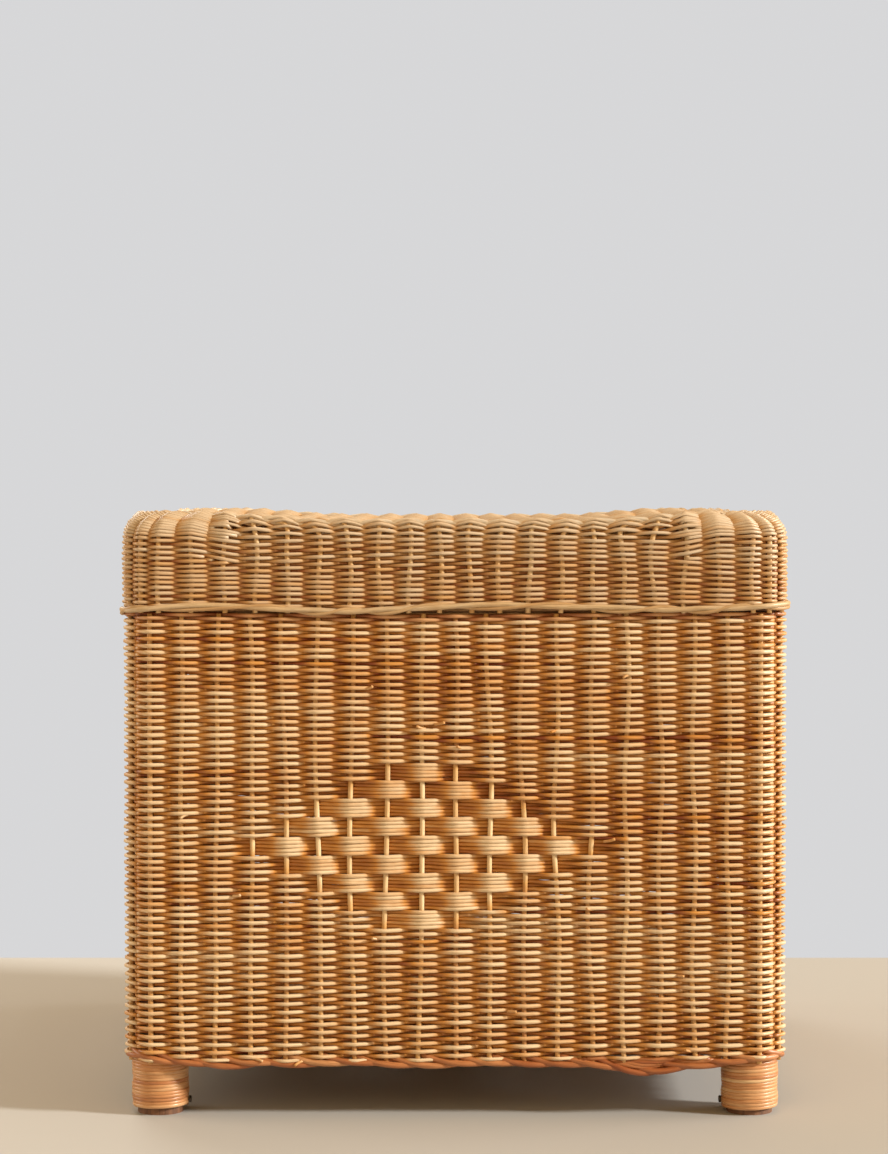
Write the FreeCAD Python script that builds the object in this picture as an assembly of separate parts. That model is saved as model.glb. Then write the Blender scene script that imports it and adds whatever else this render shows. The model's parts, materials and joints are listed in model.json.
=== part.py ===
import FreeCAD, Part

import math
import os

# A wicker storage trunk. Millimetres, +Z up, the front faces -Y, and the origin is on the
# ground under the middle of the trunk. Round corner posts carry timber rails, the wicker wall
# wraps round that frame, and the lid is a second frame with its own wicker on two butt hinges.

# Driving dimensions.
BODY_HALF = 225.0          # middle to the outside of the wicker wall, both ways
WALL_THICKNESS = 8.3       # stake with a weaver on each side
FRAME_GAP = 0.2            # between the frame and the wicker round it
POST_RADIUS = 15.5
SEAM_HEIGHT = 341.0        # top of the body
SEAM_GAP = 0.3             # between the closed lid and the body
LID_OVERHANG = 1.5
LID_TOP = 406.0
LID_EDGE_RADIUS = 16.0     # the rounding between the lid's sides and its top
CORNER_RISE = 2.0          # how far the lid's corners stand above its middle
CORNER_RISE_RADIUS = 40.0
CORNER_RISE_INSET = 62.0   # from the lid's outside to the middle of a raised corner

RAIL_THICKNESS = 14.0
RAIL_HEIGHT = 18.0
LID_RAIL_HEIGHT = 16.0
RAIL_END_REACH = 4.5       # a rail's ends reach past the near side of the post, coped round it
DOWEL_RADIUS = 3.0
DOWEL_ENDS = (29.0, 4.0)   # from the middle of the post, along the rail
DOWEL_OUT = 6.0            # from the middle of the post, towards the outside
DOWEL_FIT = 0.05

WRAP_THICKNESS = 4.0
WRAP_BOTTOM = 3.4          # the bare end of the post below the wrapping
WRAP_TOP = 37.0
WRAP_FIT = 0.02
TACK_HEIGHT = 8.0          # above the ground
TACK_HEAD_RADIUS = 2.4
TACK_HEAD_THICKNESS = 1.6
TACK_HEAD_ROUNDING = 0.9
TACK_RADIUS = 0.8
TACK_LENGTH = 11.0
TACK_FIT = 0.05

BORDER_BOTTOM = 30.0
BORDER_TOP = 41.0
BORDER_PROUD = 2.0         # how far the foot border stands outside the wall
RIM_HEIGHT = 5.0
FLOOR_THICKNESS = 8.0
SLAT_WIDTH = 30.0
SLAT_THICKNESS = 8.0
SLAT_PLACES = (-110.0, 0.0, 110.0)
LID_SLAT_INSET = 1.5       # from the rounding of the lid's edge
LID_FRAME_RISE = 0.7       # the lid's frame stands this far up inside its wicker

STAKE_RADIUS = 2.0
STAKE_HOLE_GAP = 0.05
BODY_STAKE_PITCH = 23.0
BODY_SIDE_STAKES = 17      # on the straight of one side
LID_STAKE_PITCH = 20.2
LID_SIDE_STAKES = 20
CORNER_STAKES = 2          # round each corner

EDGE_ROD_RADIUS = 2.5
EDGE_ROD_PROUD = 2.0
WALE_RADIUS = 3.0
WALE_HEIGHT = 401.0
WALE_INSET = 7.0
TRIM_FIT = 0.1
HINGE_CLEARANCE = 9.0      # the edge rod is cut away this far round a hinge

HINGE_PLACES = {"left": -113.0, "right": 113.0}
HINGE_WIDTH = 38.0
HINGE_AXIS_BEHIND = 4.8    # from the body's wall to the pin
KNUCKLE_RADIUS = 2.8
KNUCKLE_GAP = 0.3
LID_KNUCKLE_HALF = 7.0
PIN_RADIUS = 1.2
PIN_FIT = 0.05
PIN_HEAD_RADIUS = 2.0
PIN_HEAD_THICKNESS = 0.8
PIN_HEAD_GAP = 0.1         # between a knuckle and the head of its pin
BODY_LEAF_DROP = 1.35      # from the pin down to the top of a body leaf
BODY_WEB_THICKNESS = 1.4   # the bend between a leaf and its knuckles
LID_LEAF_RISE = 3.3        # from the pin up to the bottom of a lid leaf
LID_WEB_THICKNESS = 1.4
LID_WEB_DROP = 1.2         # how far that bend lies below the leaf's bottom
LEAF_THICKNESS = 1.2
LEAF_STANDOFF = 0.4        # over the wicker that the leaf lies on
BODY_LEAF_HEIGHT = 20.0
LID_LEAF_HEIGHT = 16.0
SCREW_RADIUS = 1.25
SCREW_HEAD_RADIUS = 2.6
SCREW_HEAD_HEIGHT = 0.9
SCREW_LENGTH = 17.0
SCREW_FIT = 0.05
BODY_SCREW_PLACES = (-9.5, 13.5)   # from the middle of the left hinge, between the stakes
LID_SCREW_PLACES = (-8.2, 12.0)
BODY_SCREW_DROP = 13.0     # below the seam
LID_SCREW_RISE = 11.0      # above it

PAST = 1.0                 # shapes that cut reach this far past what they cut

# Worked out from those.
LID_HALF = BODY_HALF + LID_OVERHANG
BODY_POST = BODY_HALF - WALL_THICKNESS - FRAME_GAP - POST_RADIUS
LID_POST = LID_HALF - WALL_THICKNESS - FRAME_GAP - POST_RADIUS
BODY_CORNER = BODY_HALF - BODY_POST
LID_BOTTOM = SEAM_HEIGHT + SEAM_GAP
LID_FRAME_BOTTOM = LID_BOTTOM + LID_FRAME_RISE
LID_FRAME_TOP = LID_TOP - LID_EDGE_RADIUS - FRAME_GAP
RAIL_BOTTOM = BORDER_TOP
FLOOR_BOTTOM = RAIL_BOTTOM + RAIL_HEIGHT
RIM_BOTTOM = SEAM_HEIGHT - RIM_HEIGHT
HINGE_Y = BODY_HALF + HINGE_AXIS_BEHIND
HINGE_Z = SEAM_HEIGHT + SEAM_GAP / 2

SIDES = {"front": 0.0, "right": 90.0, "back": 180.0, "left": 270.0}
CORNERS = {"front_left": (-1, -1), "front_right": (1, -1), "back_right": (1, 1), "back_left": (-1, 1)}

X_AXIS = FreeCAD.Vector(1, 0, 0)
Z_AXIS = FreeCAD.Vector(0, 0, 1)
ORIGIN = FreeCAD.Vector(0, 0, 0)


def box(x, y, z):
    """A box from three (low, high) pairs."""
    low = FreeCAD.Vector(x[0], y[0], z[0])
    return Part.makeBox(x[1] - x[0], y[1] - y[0], z[1] - z[0], low)


def rod(radius, start, end):
    """A straight round rod between two points."""
    start = FreeCAD.Vector(*start)
    run = FreeCAD.Vector(*end) - start
    return Part.makeCylinder(radius, run.Length, start, run)


def prism(half, corner, z):
    """An upright square prism with rounded corners."""
    block = box((-half, half), (-half, half), z)
    upright = [edge for edge in block.Edges if abs(edge.tangentAt(edge.FirstParameter).z) > 0.99]
    return block.makeFillet(corner, upright)


def ring(half, corner, radius, height):
    """A round rod bent into a square with rounded corners, half being to its middle line."""
    straight = half - corner
    pieces = []
    for angle in SIDES.values():
        run = rod(radius, (-straight, -half, height), (straight, -half, height))
        centre = FreeCAD.Vector(straight, -straight, height)
        section = Part.Circle(FreeCAD.Vector(straight, -half, height), X_AXIS, radius)
        disc = Part.Face(Part.Wire([section.toShape()]))
        bend = disc.revolve(centre, Z_AXIS, 90)
        for piece in (run, bend):
            piece.rotate(ORIGIN, Z_AXIS, angle)
            pieces.append(piece)
    return pieces[0].multiFuse(pieces[1:]).removeSplitter()


def side_wedge(angle):
    """The quarter of space in front of one side, out to both corners' diagonals."""
    reach = 2 * LID_HALF
    points = [(0, 0), (-reach, -reach), (reach, -reach), (0, 0)]
    outline = Part.makePolygon([FreeCAD.Vector(x, y, 0) for x, y in points])
    wedge = Part.Face(outline).extrude(FreeCAD.Vector(0, 0, 2 * LID_TOP))
    wedge.rotate(ORIGIN, Z_AXIS, angle)
    return wedge


def turned(shape, angle):
    """A copy of a front-side shape, turned to another side."""
    copy = shape.copy()
    copy.rotate(ORIGIN, Z_AXIS, angle)
    return copy


def stake_places(half, corner, pitch, count):
    """Where the stakes of the front side stand, with its half of each corner's stakes."""
    line = half - WALL_THICKNESS / 2
    radius = corner - WALL_THICKNESS / 2
    straight = half - corner
    last = pitch * (count - 1) / 2
    places = [(-last + pitch * i, -line) for i in range(count)]
    around = 2 * (straight - last) + radius * math.pi / 2
    step = around / (CORNER_STAKES + 1)
    turn = (step - (straight - last)) / radius
    for sign in (-1, 1):
        x = sign * (straight + radius * math.sin(turn))
        places.append((x, -straight - radius * math.cos(turn)))
    return places


def stakes(places, z, radius):
    """Upright stakes of one side, as a list of solids."""
    return [rod(radius, (x, y, z[0]), (x, y, z[1])) for x, y in places]


def frame_rail(centre, z):
    """A front rail between two posts, coped round them."""
    outside = centre + POST_RADIUS
    reach = centre - POST_RADIUS + RAIL_END_REACH
    rail = box((-reach, reach), (-outside, RAIL_THICKNESS - outside), z)
    for sign in (-1, 1):
        post = rod(POST_RADIUS, (sign * centre, -centre, z[0] - PAST), (sign * centre, -centre, z[1] + PAST))
        rail = rail.cut(post)
    return rail


def rail_dowels(centre, z, radius):
    """The two dowels that join a front rail to its posts."""
    height = (z[0] + z[1]) / 2
    line = centre + DOWEL_OUT
    near, far = centre - DOWEL_ENDS[0], centre - DOWEL_ENDS[1]
    return [rod(radius, (sign * near, -line, height), (sign * far, -line, height)) for sign in (-1, 1)]


nodes = {}


def add(name, shape):
    """Keep one node: a solid, or a list of separate solids."""
    if isinstance(shape, list):
        shape = Part.makeCompound(shape)
    nodes[name] = shape


# The frames. Rails of the body stand low and high, and so do the lid's.
BODY_RAILS = {
    "bottom_rail": (RAIL_BOTTOM, RAIL_BOTTOM + RAIL_HEIGHT),
    "top_rail": (SEAM_HEIGHT - RAIL_HEIGHT, SEAM_HEIGHT),
}
LID_RAILS = {
    "lid_lower_rail": (LID_FRAME_BOTTOM, LID_FRAME_BOTTOM + LID_RAIL_HEIGHT),
    "lid_upper_rail": (LID_FRAME_TOP - LID_RAIL_HEIGHT, LID_FRAME_TOP),
}


def add_frame(rails, centre, post_name, post_z, dowel_name):
    """Posts, rails and dowels of the body or of the lid."""
    dowels = []
    holes = []
    for heights in rails.values():
        for angle in SIDES.values():
            for dowel in rail_dowels(centre, heights, DOWEL_RADIUS):
                dowels.append(turned(dowel, angle))
            for hole in rail_dowels(centre, heights, DOWEL_RADIUS + DOWEL_FIT):
                holes.append(turned(hole, angle))
    for corner, (sx, sy) in CORNERS.items():
        place = (sx * centre, sy * centre)
        post = rod(POST_RADIUS, (*place, post_z[0]), (*place, post_z[1]))
        post = post.cut([hole for hole in holes if hole.common(post).Volume > 0])
        add(f"{post_name}_{corner}", post)
    for name, heights in rails.items():
        for side, angle in SIDES.items():
            rail = turned(frame_rail(centre, heights), angle)
            rail = rail.cut([hole for hole in holes if hole.common(rail).Volume > 0])
            add(f"{name}_{side}", rail)
    add(dowel_name, dowels)


add_frame(BODY_RAILS, BODY_POST, "corner_post", (0.0, SEAM_HEIGHT), "frame_dowels")
add_frame(LID_RAILS, LID_POST, "lid_post", (LID_FRAME_BOTTOM, LID_FRAME_TOP), "lid_dowels")


# The legs: the ends of the posts, wound with cane that a tack holds.
tacks = []
tack_holes = []
for corner, (sx, sy) in CORNERS.items():
    x, y = sx * BODY_POST, sy * BODY_POST
    surface = x - sx * (POST_RADIUS + WRAP_THICKNESS)
    shank_end = (surface + sx * TACK_LENGTH, y, TACK_HEIGHT)
    head_end = surface - sx * TACK_HEAD_THICKNESS
    head = rod(TACK_HEAD_RADIUS, (surface, y, TACK_HEIGHT), (head_end, y, TACK_HEIGHT))
    rim = [edge for edge in head.Edges if abs(edge.CenterOfMass.x - head_end) < PAST / 10]
    head = head.makeFillet(TACK_HEAD_ROUNDING, rim)
    tacks.append(head.fuse(rod(TACK_RADIUS, (surface, y, TACK_HEIGHT), shank_end)))
    tack_holes.append(rod(TACK_RADIUS + TACK_FIT, (surface - sx * PAST, y, TACK_HEIGHT), shank_end))
add("leg_tacks", tacks)

for (corner, (sx, sy)), hole in zip(CORNERS.items(), tack_holes):
    place = (sx * BODY_POST, sy * BODY_POST)
    outer = rod(POST_RADIUS + WRAP_THICKNESS, (*place, WRAP_BOTTOM), (*place, WRAP_TOP))
    core = rod(POST_RADIUS + WRAP_FIT, (*place, 0.0), (*place, WRAP_TOP + PAST))
    add(f"leg_wrap_{corner}", outer.cut(core).cut(hole))
    nodes[f"corner_post_{corner}"] = nodes[f"corner_post_{corner}"].cut(hole)


# The floor: a woven mat on the bottom rails, with slats under it.
rail_inside = BODY_POST + POST_RADIUS - RAIL_THICKNESS
add("floor_slats", [
    box((x - SLAT_WIDTH / 2, x + SLAT_WIDTH / 2), (-rail_inside, rail_inside),
        (FLOOR_BOTTOM - SLAT_THICKNESS, FLOOR_BOTTOM))
    for x in SLAT_PLACES
])
floor_half = BODY_HALF - WALL_THICKNESS - FRAME_GAP
floor_span = (-floor_half, floor_half)
floor_top = FLOOR_BOTTOM + FLOOR_THICKNESS
floor = box(floor_span, floor_span, (FLOOR_BOTTOM, floor_top))
for sx, sy in CORNERS.values():
    reach = [(sx * (BODY_POST - POST_RADIUS - FRAME_GAP), sx * BODY_HALF),
             (sy * (BODY_POST - POST_RADIUS - FRAME_GAP), sy * BODY_HALF)]
    notch = box(sorted(reach[0]), sorted(reach[1]), (FLOOR_BOTTOM - PAST, floor_top + PAST))
    floor = floor.cut(notch)
add("floor_mat", floor)


# The wicker wall, in four sides that meet at the corners' diagonals, with its stakes inside.
def shell(half, corner, z):
    """A wicker wall all the way round."""
    outside = prism(half, corner, z)
    inside = prism(half - WALL_THICKNESS, corner - WALL_THICKNESS, (z[0] - PAST, z[1] + PAST))
    return outside.cut(inside)


body_wall = shell(BODY_HALF, BODY_CORNER, (BORDER_TOP, RIM_BOTTOM))
body_stakes = stake_places(BODY_HALF, BODY_CORNER, BODY_STAKE_PITCH, BODY_SIDE_STAKES)
stake_height = (BORDER_TOP, RIM_BOTTOM)
for side, angle in SIDES.items():
    wall = body_wall.common(side_wedge(angle))
    hole_height = (stake_height[0] - PAST, stake_height[1] + PAST)
    holes = stakes(body_stakes, hole_height, STAKE_RADIUS + STAKE_HOLE_GAP)
    wall = wall.cut([turned(hole, angle) for hole in holes])
    add(f"wall_weave_{side}", wall)
    upright = stakes(body_stakes, stake_height, STAKE_RADIUS)
    add(f"wall_stakes_{side}", [turned(stake, angle) for stake in upright])

border_half = BODY_HALF + BORDER_PROUD
border_inside = BODY_HALF - WALL_THICKNESS
border = prism(border_half, BODY_CORNER + BORDER_PROUD, (BORDER_BOTTOM, BORDER_TOP))
border_inner_corner = BODY_CORNER - WALL_THICKNESS
border = border.cut(prism(border_inside, border_inner_corner, (BORDER_BOTTOM - PAST, BORDER_TOP + PAST)))
for sx, sy in CORNERS.values():
    place = (sx * BODY_POST, sy * BODY_POST)
    clear = POST_RADIUS + WRAP_THICKNESS + FRAME_GAP
    border = border.cut(rod(clear, (*place, BORDER_BOTTOM - PAST), (*place, WRAP_TOP + FRAME_GAP)))
add("foot_border", border)
add("body_rim", shell(BODY_HALF, BODY_CORNER, (RIM_BOTTOM, SEAM_HEIGHT)))


# The lid's wicker: a rounded box open below, parted into four sides and a top.
def lid_block(half, corner, top, edge_radius):
    """A rounded block with its top edges rounded over."""
    block = prism(half, corner, (LID_BOTTOM, top))
    rim = [edge for edge in block.Edges if edge.BoundBox.ZMin > top - PAST / 10]
    return block.makeFillet(edge_radius, rim)


lid_corner = LID_HALF - LID_POST
lid_shell = lid_block(LID_HALF, lid_corner, LID_TOP, LID_EDGE_RADIUS)
inside_radius = LID_EDGE_RADIUS - WALL_THICKNESS
lid_inside = lid_block(LID_HALF - WALL_THICKNESS, lid_corner - WALL_THICKNESS,
                       LID_TOP - WALL_THICKNESS, inside_radius)
lid_shell = lid_shell.cut(lid_inside)

rod_half = LID_HALF + EDGE_ROD_PROUD - EDGE_ROD_RADIUS
rod_height = LID_BOTTOM + EDGE_ROD_RADIUS
edge_rod = ring(rod_half, lid_corner, EDGE_ROD_RADIUS, rod_height)
wale_half = LID_HALF - WALE_INSET
wale = ring(wale_half, lid_corner - WALE_INSET, WALE_RADIUS, WALE_HEIGHT)
for trim in (ring(rod_half, lid_corner, EDGE_ROD_RADIUS + TRIM_FIT, rod_height),
             ring(wale_half, lid_corner - WALE_INSET, WALE_RADIUS + TRIM_FIT, WALE_HEIGHT)):
    lid_shell = lid_shell.cut(trim)
for place in HINGE_PLACES.values():
    span = (place - HINGE_WIDTH / 2 - PAST, place + HINGE_WIDTH / 2 + PAST)
    edge_rod = edge_rod.cut(box(span, (LID_POST, LID_HALF + HINGE_CLEARANCE),
                                (LID_BOTTOM - PAST, LID_BOTTOM + HINGE_CLEARANCE)))
add("lid_edge_rod", edge_rod)
add("lid_top_wale", wale)

top_half = LID_HALF - LID_EDGE_RADIUS
top_block = prism(top_half, lid_corner - LID_EDGE_RADIUS, (LID_FRAME_TOP, LID_TOP + PAST))
top = lid_shell.common(top_block)
dome_radius = (CORNER_RISE_RADIUS ** 2 + CORNER_RISE ** 2) / (2 * CORNER_RISE)
for sx, sy in CORNERS.values():
    place = LID_HALF - CORNER_RISE_INSET
    centre = FreeCAD.Vector(sx * place, sy * place, LID_TOP + CORNER_RISE - dome_radius)
    dome = Part.makeSphere(dome_radius, centre)
    slab = rod(CORNER_RISE_RADIUS + PAST, (centre.x, centre.y, LID_TOP - PAST),
               (centre.x, centre.y, LID_TOP + CORNER_RISE + PAST))
    top = top.fuse(dome.common(slab))
add("lid_top_weave", top.removeSplitter())

lid_sides = lid_shell.cut(top_block)
lid_stakes = []
lid_stake_places = stake_places(LID_HALF, lid_corner, LID_STAKE_PITCH, LID_SIDE_STAKES)
lid_stake_height = (rod_height + EDGE_ROD_RADIUS + PAST, LID_FRAME_TOP)
for side, angle in SIDES.items():
    wall = lid_sides.common(side_wedge(angle))
    holes = stakes(lid_stake_places, lid_stake_height, STAKE_RADIUS + STAKE_HOLE_GAP)
    wall = wall.cut([turned(hole, angle) for hole in holes])
    add(f"lid_weave_{side}", wall)
    lid_stakes += [turned(stake, angle) for stake in stakes(lid_stake_places, lid_stake_height, STAKE_RADIUS)]
add("lid_stakes", lid_stakes)

slat_reach = LID_HALF - LID_EDGE_RADIUS - LID_SLAT_INSET
add("lid_slats", [
    box((x - SLAT_WIDTH / 2, x + SLAT_WIDTH / 2), (-slat_reach, slat_reach),
        (LID_FRAME_TOP, LID_TOP - WALL_THICKNESS - FRAME_GAP))
    for x in SLAT_PLACES
])


# The hinges: leaves flat on the wicker behind, screwed through it into the rails.
def hinge_pin_hole(place, radius):
    half = HINGE_WIDTH / 2 + PAST
    return rod(radius, (place - half, HINGE_Y, HINGE_Z), (place + half, HINGE_Y, HINGE_Z))


def knuckle(x):
    return rod(KNUCKLE_RADIUS, (x[0], HINGE_Y, HINGE_Z), (x[1], HINGE_Y, HINGE_Z))


def screw(x, surface, z):
    """A screw that is driven forwards through a leaf, its head on the leaf's surface."""
    shank = rod(SCREW_RADIUS, (x, surface, z), (x, surface - SCREW_LENGTH, z))
    head = rod(SCREW_HEAD_RADIUS, (x, surface, z), (x, surface + SCREW_HEAD_HEIGHT, z))
    return shank.fuse(head).removeSplitter()


def screw_hole(x, surface, z):
    """The hole for that screw, a little wider and deeper than its shank."""
    end = surface - SCREW_LENGTH - SCREW_FIT
    return rod(SCREW_RADIUS + SCREW_FIT, (x, surface + SCREW_HEAD_HEIGHT, z), (x, end, z))


screws = {"hinge_screws_body": [], "hinge_screws_lid": []}
screw_holes = {"hinge_screws_body": [], "hinge_screws_lid": []}
for name, place in HINGE_PLACES.items():
    half = HINGE_WIDTH / 2
    mirror = -1 if place > 0 else 1
    lid_span = (place - LID_KNUCKLE_HALF, place + LID_KNUCKLE_HALF)
    outer_spans = ((place - half, lid_span[0] - KNUCKLE_GAP), (lid_span[1] + KNUCKLE_GAP, place + half))

    body_face = BODY_HALF + LEAF_STANDOFF
    plate_top = HINGE_Z - BODY_LEAF_DROP
    body_leaf = box((place - half, place + half), (body_face, body_face + LEAF_THICKNESS),
                    (plate_top - BODY_LEAF_HEIGHT, plate_top))
    for span in outer_spans:
        web = box(span, (body_face, HINGE_Y), (plate_top - BODY_WEB_THICKNESS, plate_top))
        body_leaf = body_leaf.fuse([web, knuckle(span)])
    body_leaf = body_leaf.cut(hinge_pin_hole(place, PIN_RADIUS + PIN_FIT))

    lid_face = LID_HALF + LEAF_STANDOFF
    plate_bottom = HINGE_Z + LID_LEAF_RISE
    lid_leaf = box((place - half, place + half), (lid_face, lid_face + LEAF_THICKNESS),
                   (plate_bottom, plate_bottom + LID_LEAF_HEIGHT))
    web_bottom = plate_bottom - LID_WEB_DROP
    web = box(lid_span, (lid_face, HINGE_Y), (web_bottom, web_bottom + LID_WEB_THICKNESS))
    lid_leaf = lid_leaf.fuse([web, knuckle(lid_span)])
    lid_leaf = lid_leaf.cut(hinge_pin_hole(place, PIN_RADIUS + PIN_FIT))

    leaves = {
        "hinge_screws_body": (body_leaf, BODY_SCREW_PLACES, body_face, SEAM_HEIGHT - BODY_SCREW_DROP),
        "hinge_screws_lid": (lid_leaf, LID_SCREW_PLACES, lid_face, SEAM_HEIGHT + LID_SCREW_RISE),
    }
    for group, (leaf, screw_places, face, height) in leaves.items():
        surface = face + LEAF_THICKNESS
        for offset in screw_places:
            x = place + mirror * offset
            screws[group].append(screw(x, surface, height))
            screw_holes[group].append(screw_hole(x, surface, height))
    add(f"hinge_body_leaf_{name}", body_leaf.cut(screw_holes["hinge_screws_body"]).removeSplitter())
    add(f"hinge_lid_leaf_{name}", lid_leaf.cut(screw_holes["hinge_screws_lid"]).removeSplitter())

    head_start = half + PIN_HEAD_GAP
    head_end = head_start + PIN_HEAD_THICKNESS
    pin = rod(PIN_RADIUS, (place - head_end, HINGE_Y, HINGE_Z), (place + head_end, HINGE_Y, HINGE_Z))
    ends = []
    for sign in (-1, 1):
        inner, outer = place + sign * head_start, place + sign * head_end
        ends.append(rod(PIN_HEAD_RADIUS, (inner, HINGE_Y, HINGE_Z), (outer, HINGE_Y, HINGE_Z)))
    add(f"hinge_pin_{name}", pin.fuse(ends).removeSplitter())
for group, solids in screws.items():
    add(group, solids)

DRILLED = {
    "hinge_screws_body": ("wall_weave_back", "top_rail_back"),
    "hinge_screws_lid": ("lid_weave_back", "lid_lower_rail_back"),
}
for group, names in DRILLED.items():
    for name in names:
        nodes[name] = nodes[name].cut(screw_holes[group])

os.makedirs("parts", exist_ok=True)
for name, shape in nodes.items():
    shape.exportStep(f"parts/{name}.step")
    state = "valid" if shape.isValid() else "INVALID"
    print(name, state, len(shape.Solids), round(shape.Volume), "mm3")
print(len(nodes), "nodes")
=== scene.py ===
import json
import math

import bpy
import numpy as np
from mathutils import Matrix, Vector


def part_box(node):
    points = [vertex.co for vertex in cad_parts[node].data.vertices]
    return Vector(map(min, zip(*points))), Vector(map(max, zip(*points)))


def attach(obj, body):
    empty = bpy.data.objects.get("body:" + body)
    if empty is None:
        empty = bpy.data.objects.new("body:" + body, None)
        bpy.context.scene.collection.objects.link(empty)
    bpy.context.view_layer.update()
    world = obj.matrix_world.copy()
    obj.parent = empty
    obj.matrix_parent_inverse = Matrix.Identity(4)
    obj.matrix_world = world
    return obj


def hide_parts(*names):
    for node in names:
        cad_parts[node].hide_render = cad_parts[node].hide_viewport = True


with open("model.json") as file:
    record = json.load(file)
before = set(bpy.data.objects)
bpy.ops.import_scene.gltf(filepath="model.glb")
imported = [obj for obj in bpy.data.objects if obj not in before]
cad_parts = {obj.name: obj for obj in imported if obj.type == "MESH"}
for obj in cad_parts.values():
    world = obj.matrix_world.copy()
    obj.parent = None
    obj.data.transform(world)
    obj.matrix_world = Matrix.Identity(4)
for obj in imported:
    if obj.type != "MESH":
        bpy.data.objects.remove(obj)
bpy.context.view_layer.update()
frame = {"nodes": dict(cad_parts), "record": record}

# The wicker of a storage trunk, strand by strand, round its CAD frame. Metres.
# A side is worked out as the front and turned round +Z, and "t" is the way along it, from the
# middle of one rounded corner to the middle of the next.

MM = 0.001
SIDES = ("front", "right", "back", "left")
CORNERS = ("front_left", "front_right", "back_right", "back_left")


# ---------------------------------------------------------------- sizes from the frame
def corner_of(node):
    """The X of the middle of an upright post."""
    low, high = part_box(node)
    return (low.x + high.x) / 2


STAKE_RADIUS = 2.0 * MM
CANE = 1.8 * MM                  # a stake as modelled, a little squeezed by the strands round it
wall_low, wall_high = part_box("wall_weave_front")
rim_low, rim_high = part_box("body_rim")
border_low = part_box("foot_border")[0]
lid_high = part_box("lid_weave_front")[1]
floor_low, floor_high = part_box("floor_mat")
rod_low, rod_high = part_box("lid_edge_rod")
wale_low, wale_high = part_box("lid_top_wale")
wrap_low, wrap_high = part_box("leg_wrap_front_right")
post_low, post_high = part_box("corner_post_front_right")

BODY_POST = corner_of("corner_post_front_right")
LID_POST = corner_of("lid_post_front_right")
BODY_LINE = -(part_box("wall_stakes_front")[0].y + STAKE_RADIUS)
LID_LINE = -(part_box("lid_stakes")[0].y + STAKE_RADIUS)
POST_RADIUS = (post_high.x - post_low.x) / 2
WRAP_RADIUS = (wrap_high.x - wrap_low.x) / 2


# ---------------------------------------------------------------- meshes of many strands
class Strands:
    """Collects round strands, each a closed tube, and makes one mesh of them."""

    def __init__(self, name, sides=6):
        self.name = name
        self.sides = sides
        self.points, self.tones, self.grains = [], [], []
        self.quads, self.caps = [], []
        self.count = 0
        self.made = 0

    def add(self, line, outward, out_radius, up_radius, tone):
        """One strand along line. outward is the direction that out_radius is measured in."""
        line = np.asarray(line, float)
        n = len(line)
        along = np.gradient(line, axis=0)
        along /= np.linalg.norm(along, axis=1)[:, None]
        outward = np.broadcast_to(np.asarray(outward, float), line.shape)
        across = np.cross(along, outward)
        across /= np.linalg.norm(across, axis=1)[:, None]
        outward = np.cross(across, along)
        turn = 2 * np.pi * (np.arange(self.sides) + 0.5) / self.sides
        out_radius = np.broadcast_to(out_radius, n)[:, None, None]
        up_radius = np.broadcast_to(up_radius, n)[:, None, None]
        ring = np.cos(turn)[None, :, None] * outward[:, None, :] * out_radius
        ring = ring + np.sin(turn)[None, :, None] * across[:, None, :] * up_radius
        self.points.append((line[:, None, :] + ring).reshape(-1, 3))
        self.tones.append(np.repeat(np.broadcast_to(tone, n), self.sides))
        length = np.concatenate([[0], np.cumsum(np.linalg.norm(np.diff(line, axis=0), axis=1))])
        grain = np.empty((n, self.sides, 3))
        grain[:, :, 0] = length[:, None] + 0.37 * self.made
        grain[:, :, 1] = np.cos(turn) * MM
        grain[:, :, 2] = np.sin(turn) * MM + 0.011 * self.made
        self.grains.append(grain.reshape(-1, 3))
        k = np.arange(n - 1)[:, None] * self.sides
        m = np.arange(self.sides)[None, :]
        nxt = (m + 1) % self.sides
        quads = np.stack([k + m, k + nxt, k + self.sides + nxt, k + self.sides + m], axis=2)
        self.quads.append(quads.reshape(-1, 4) + self.count)
        first = np.arange(self.sides)[::-1] + self.count
        last = np.arange(self.sides) + (n - 1) * self.sides + self.count
        self.caps += [first, last]
        self.count += n * self.sides
        self.made += 1

    def build(self, material, body, slot, *nodes):
        """The finished object, riding on a body and standing for CAD nodes."""
        points = np.concatenate(self.points)
        quads = np.concatenate(self.quads)
        caps = np.array(self.caps)
        mesh = bpy.data.meshes.new(self.name)
        mesh.vertices.add(len(points))
        mesh.vertices.foreach_set("co", points.astype(np.float32).ravel())
        loops = np.concatenate([quads.ravel(), caps.ravel()])
        mesh.loops.add(len(loops))
        mesh.loops.foreach_set("vertex_index", loops.astype(np.int32))
        sizes = np.concatenate([np.full(len(quads), 4), np.full(len(caps), self.sides)])
        starts = np.concatenate([[0], np.cumsum(sizes)[:-1]])
        mesh.polygons.add(len(sizes))
        mesh.polygons.foreach_set("loop_start", starts.astype(np.int32))
        smooth = np.concatenate([np.ones(len(quads), bool), np.zeros(len(caps), bool)])
        mesh.polygons.foreach_set("use_smooth", smooth)
        mesh.update(calc_edges=True)
        tone = mesh.attributes.new("tone", "FLOAT", "POINT")
        tone.data.foreach_set("value", np.concatenate(self.tones).astype(np.float32))
        grain = mesh.attributes.new("grain", "FLOAT_VECTOR", "POINT")
        grain.data.foreach_set("vector", np.concatenate(self.grains).astype(np.float32).ravel())
        mesh.materials.append(material)
        piece = bpy.data.objects.new(self.name, mesh)
        bpy.context.scene.collection.objects.link(piece)
        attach(piece, body)
        if nodes:
            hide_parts(*nodes)
        return piece


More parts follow.
